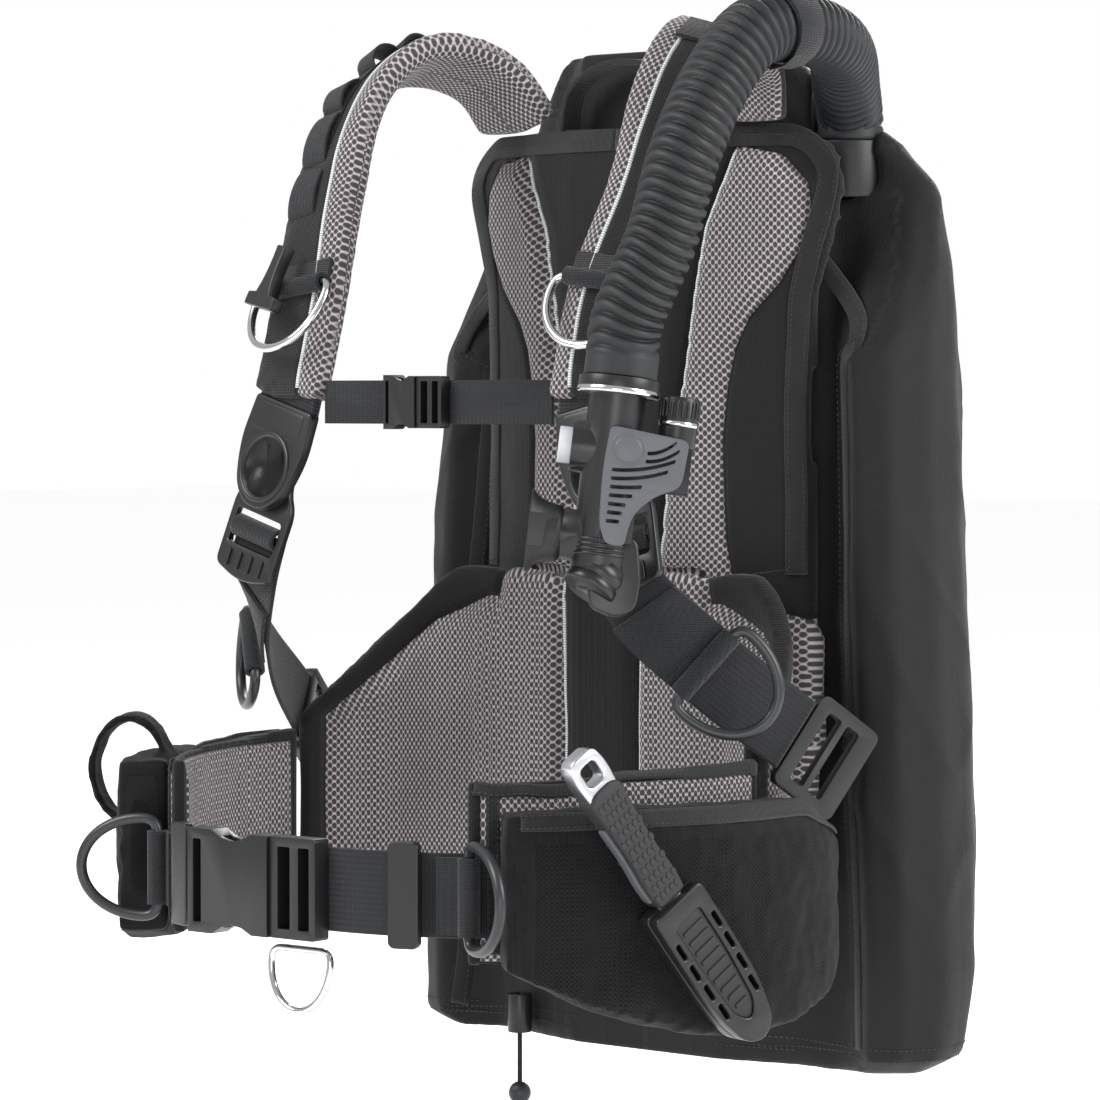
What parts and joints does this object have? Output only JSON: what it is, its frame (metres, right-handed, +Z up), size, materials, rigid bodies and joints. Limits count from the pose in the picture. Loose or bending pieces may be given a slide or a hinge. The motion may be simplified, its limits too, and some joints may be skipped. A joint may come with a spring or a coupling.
{
  "type": "buoyancy compensator vest",
  "caption": "Back-inflate diving vest with a padded harness, buckled waist and chest straps, hip pockets, a knife in a sheath, and a corrugated hose with a power inflator.",
  "frame": {"origin": "centre of the grip pad's rear face, which the air tank bears on", "axes": "+Z up along the tank, +Y towards the tank (the diver's rear), +X to the diver's left"},
  "size_m": [0.4428, 0.551, 0.6703],
  "materials": {
    "shell_fabric": "matte woven nylon",
    "spacer_mesh": "open spacer mesh",
    "webbing": "ribbed nylon webbing",
    "hard_plastic": "satin moulded",
    "guard_grey": "fine grained",
    "button_grey": "satin",
    "grip_rubber": "ribbed",
    "hose_rubber": "satin",
    "ring_steel": "polished",
    "knife_steel": "brushed"
  },
  "bodies": {
    "pack": {"tank_grip_pad": "grip_rubber", "tank_band": "webbing", "backplate": "hard_plastic", "air_cell": "shell_fabric", "back_pad": "shell_fabric", "lumbar_pad": "spacer_mesh", "hip_panel_left": "spacer_mesh", "hip_panel_right": "spacer_mesh", "waist_belt_left": "webbing", "waist_belt_right": "webbing", "weight_pouch_right": "shell_fabric", "hip_pocket_left": "shell_fabric", "shoulder_pad_left": "shell_fabric", "shoulder_pad_right": "shell_fabric", "chest_ring_tab_left": "webbing", "chest_ring_tab_right": "webbing", "shoulder_buckle_left": "hard_plastic", "shoulder_buckle_right": "hard_plastic", "lower_strap_left": "webbing", "lower_strap_right": "webbing", "strap_ring_tab_left": "webbing", "strap_ring_tab_right": "webbing", "hip_adjuster_left": "hard_plastic", "hip_adjuster_right": "hard_plastic", "sternum_strap_left": "webbing", "sternum_strap_right": "webbing", "sternum_buckle_socket": "hard_plastic", "waist_buckle_socket": "hard_plastic", "belt_slider_left": "hard_plastic", "belt_slider_right": "hard_plastic", "hip_ring_tab_left": "webbing", "hip_ring_tab_right": "webbing", "knife_sheath": "hard_plastic", "hose_elbow": "hose_rubber", "corrugated_hose": "hose_rubber", "hose_retainer": "webbing", "inflator_body": "hard_plastic", "inflator_mouthpiece": "hose_rubber", "inflator_guard": "guard_grey", "carry_handle": "webbing", "dump_valve": "hard_plastic", "cam_buckle_plate": "hard_plastic"},
    "chest_ring_left": {"chest_ring_left": "ring_steel"},
    "strap_ring_left": {"strap_ring_left": "hard_plastic"},
    "hip_ring_left": {"hip_ring_left": "hard_plastic"},
    "shoulder_swivel_left": {"shoulder_swivel_left": "hard_plastic"},
    "chest_ring_right": {"chest_ring_right": "ring_steel"},
    "strap_ring_right": {"strap_ring_right": "hard_plastic"},
    "hip_ring_right": {"hip_ring_right": "hard_plastic"},
    "shoulder_swivel_right": {"shoulder_swivel_right": "hard_plastic"},
    "waist_ring": {"waist_ring": "ring_steel"},
    "knife": {"knife": "knife_steel"},
    "inflate_button": {"inflate_button": "button_grey"},
    "deflate_button": {"deflate_button": "hard_plastic"},
    "lp_collar": {"lp_collar": "hard_plastic"},
    "sternum_buckle_plug": {"sternum_buckle_plug": "hard_plastic"},
    "waist_buckle_plug": {"waist_buckle_plug": "hard_plastic"},
    "cam_lever": {"cam_lever": "hard_plastic"},
    "whistle": {"whistle": "hard_plastic"},
    "dump_pull": {"dump_pull": "hard_plastic"}
  },
  "joints": [
    {"name": "chest_ring_left_swing", "type": "hinge", "parent": "pack", "child": "chest_ring_left", "pos_m": [0.117, -0.2041, 0.15452], "axis": [-0.9889, -0.0814, 0.1241], "range_deg": [0, 30]},
    {"name": "strap_ring_left_swing", "type": "hinge", "parent": "pack", "child": "strap_ring_left", "pos_m": [0.17287, -0.18277, -0.05743], "axis": [-0.5155, -0.4185, -0.7477], "range_deg": [0, 100]},
    {"name": "hip_ring_left_swing", "type": "hinge", "parent": "pack", "child": "hip_ring_left", "pos_m": [0.11761, -0.31769, -0.178], "axis": [0, 0, -1], "range_deg": [-8, 80]},
    {"name": "shoulder_swivel_left_turn", "type": "hinge", "parent": "pack", "child": "shoulder_swivel_left", "pos_m": [0.12712, -0.21178, 0.04756], "axis": [0.0712, -0.9801, 0.1853], "range_deg": [-15, 15]},
    {"name": "chest_ring_right_swing", "type": "hinge", "parent": "pack", "child": "chest_ring_right", "pos_m": [-0.117, -0.2041, 0.15452], "axis": [-0.9889, 0.0814, -0.1241], "range_deg": [0, 110]},
    {"name": "strap_ring_right_swing", "type": "hinge", "parent": "pack", "child": "strap_ring_right", "pos_m": [-0.17287, -0.18277, -0.05743], "axis": [-0.5155, 0.4185, 0.7477], "range_deg": [0, 100]},
    {"name": "hip_ring_right_swing", "type": "hinge", "parent": "pack", "child": "hip_ring_right", "pos_m": [-0.11761, -0.31769, -0.178], "axis": [0, 0, 1], "range_deg": [-8, 80]},
    {"name": "shoulder_swivel_right_turn", "type": "hinge", "parent": "pack", "child": "shoulder_swivel_right", "pos_m": [-0.12712, -0.21178, 0.04756], "axis": [-0.0712, -0.9801, 0.1853], "range_deg": [-15, 15]},
    {"name": "waist_ring_swing", "type": "hinge", "parent": "pack", "child": "waist_ring", "pos_m": [0.014, -0.33819, -0.2123], "axis": [-1, 0, 0], "range_deg": [0, 100]},
    {"name": "knife_draw", "type": "slide", "parent": "pack", "child": "knife", "axis": [-0.174, -0.572, 0.8016], "range_m": [0, 0.1]},
    {"name": "inflate_press", "type": "slide", "parent": "pack", "child": "inflate_button", "axis": [0.7668, 0.6316, -0.114], "range_m": [0, 0.003], "stiffness_N_per_m": 300, "springref_m": -0.002},
    {"name": "deflate_press", "type": "slide", "parent": "pack", "child": "deflate_button", "axis": [0.036, 0.135, 0.9902], "range_m": [0, 0.003], "stiffness_N_per_m": 300, "springref_m": -0.002},
    {"name": "lp_collar_release", "type": "slide", "parent": "pack", "child": "lp_collar", "axis": [0.036, 0.135, 0.9902], "range_m": [0, 0.003], "stiffness_N_per_m": 300, "springref_m": -0.002},
    {"name": "sternum_release", "type": "slide", "parent": "pack", "child": "sternum_buckle_plug", "axis": [1, 0, 0], "range_m": [0, 0.017]},
    {"name": "waist_release", "type": "slide", "parent": "pack", "child": "waist_buckle_plug", "axis": [1, 0, 0], "range_m": [0, 0.034]},
    {"name": "cam_lever_lift", "type": "hinge", "parent": "pack", "child": "cam_lever", "pos_m": [-0.027, 0.1955, 0.04], "axis": [0, 0, 1], "range_deg": [0, 120]},
    {"name": "whistle_swing", "type": "hinge", "parent": "pack", "child": "whistle", "pos_m": [-0.12115, -0.20216, 0.17641], "axis": [-0.1427, -0.9288, 0.342], "range_deg": [-15, 15]},
    {"name": "dump_pull", "type": "slide", "parent": "pack", "child": "dump_pull", "axis": [0, 0, -1], "range_m": [0, 0.012], "stiffness_N_per_m": 150, "springref_m": -0.003}
  ]
}
